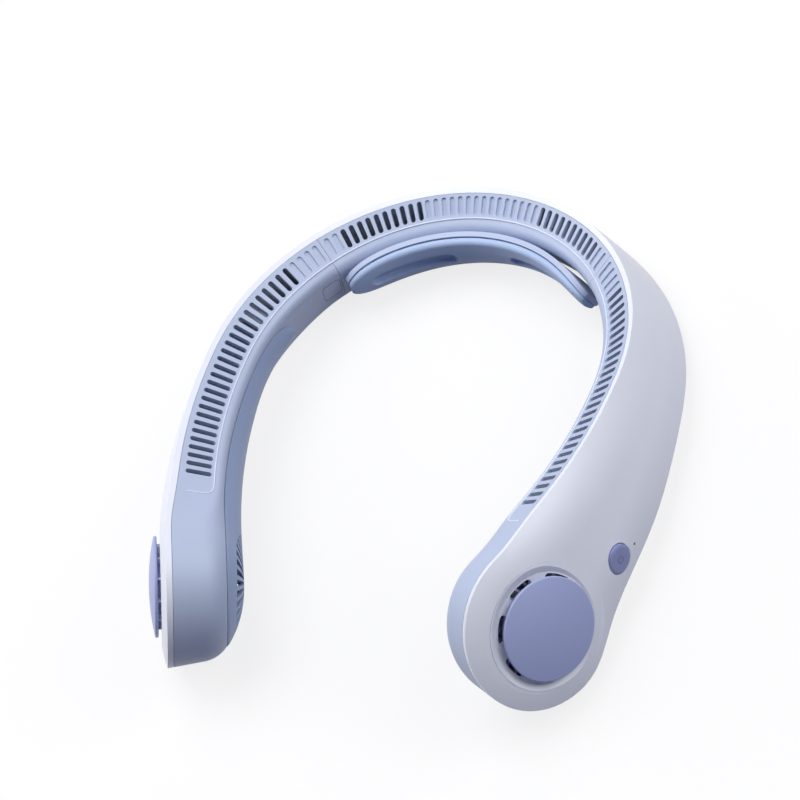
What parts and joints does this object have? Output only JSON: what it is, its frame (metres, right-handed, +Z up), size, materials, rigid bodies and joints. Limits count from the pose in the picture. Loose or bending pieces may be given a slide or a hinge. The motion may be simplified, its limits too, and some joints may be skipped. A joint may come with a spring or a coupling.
{
  "type": "neck fan",
  "caption": "Bladeless neck fan: a slotted U-shaped band worn round the neck, with a round blower pod at each front end, a padded back and a push button on one arm.",
  "frame": {"origin": "centre of the bounding box on the floor the fan stands on", "axes": "+X towards the arm with the button, +Y from the open front to the back of the neck, +Z up"},
  "size_m": [0.1938, 0.2124, 0.0601],
  "materials": {
    "shell_white": "smooth white moulded plastic, satin gloss",
    "shell_blue": "pale lavender-blue moulded plastic, fine matte",
    "cover_blue": "pale lavender-blue moulded plastic, fine matte",
    "disc_blue": "greyish lavender moulded plastic, satin",
    "pad_soft": "soft lavender-blue silicone, matte",
    "pad_frame": "pale lavender-blue moulded plastic",
    "cap_blue": "pale lavender-blue moulded plastic",
    "button_blue": "lavender-blue moulded plastic, satin",
    "lens_dark": "dark tinted clear plastic",
    "board_green": "green solder mask",
    "switch_dark": "black plastic",
    "socket_steel": "drawn steel",
    "cell_wrap": "silver-grey pouch wrap",
    "lead_black": "black cable sheath",
    "duct_plastic": "natural grey-white plastic",
    "bush_brass": "sintered bronze",
    "core_steel": "dull steel",
    "coil_copper": "enamelled copper wire",
    "magnet_dark": "bonded ferrite",
    "impeller_dark": "dark grey moulded plastic",
    "screw_steel": "plated steel"
  },
  "bodies": {
    "band": {"outer_shell": "shell_white", "inner_shell_right": "shell_blue", "inner_shell_left": "shell_blue", "inner_shell_rear": "shell_blue", "arm_cover_right": "cover_blue", "arm_cover_left": "cover_blue", "intake_disc_right": "disc_blue", "intake_disc_left": "disc_blue", "pad_cushion": "pad_soft", "pad_plate": "pad_frame", "pad_bracket": "pad_frame", "screw_caps": "cap_blue", "status_lens": "lens_dark", "control_board": "board_green", "power_switch": "switch_dark", "charge_socket": "socket_steel", "battery_right": "cell_wrap", "battery_left": "cell_wrap", "battery_lead": "lead_black", "duct_floor_right": "duct_plastic", "duct_floor_left": "duct_plastic", "arm_screws": "screw_steel", "rear_screws": "screw_steel", "motor_base_right": "duct_plastic", "motor_base_left": "duct_plastic", "motor_bush_right": "bush_brass", "motor_bush_left": "bush_brass", "motor_stator_right": "core_steel", "motor_stator_left": "core_steel", "motor_coils_right": "coil_copper", "motor_coils_left": "coil_copper"},
    "fan_right": {"motor_shaft_right": "screw_steel", "rotor_cup_right": "core_steel", "rotor_magnet_right": "magnet_dark", "impeller_right": "impeller_dark"},
    "fan_left": {"motor_shaft_left": "screw_steel", "rotor_cup_left": "core_steel", "rotor_magnet_left": "magnet_dark", "impeller_left": "impeller_dark"},
    "button": {"power_button": "button_blue"}
  },
  "joints": [
    {"name": "fan_right_spin", "type": "hinge", "parent": "band", "child": "fan_right", "pos_m": [0.06452, -0.0729, 0.02483], "axis": [0.8489, -0.3258, 0.4161], "continuous": true},
    {"name": "fan_left_spin", "type": "hinge", "parent": "band", "child": "fan_left", "pos_m": [-0.06452, -0.0729, 0.02483], "axis": [-0.8489, -0.3258, 0.4161], "continuous": true},
    {"name": "power_button_press", "type": "slide", "parent": "band", "child": "button", "axis": [-0.9471, 0.2647, -0.1815], "range_m": [0, 0.0004], "stiffness_N_per_m": 4000}
  ]
}
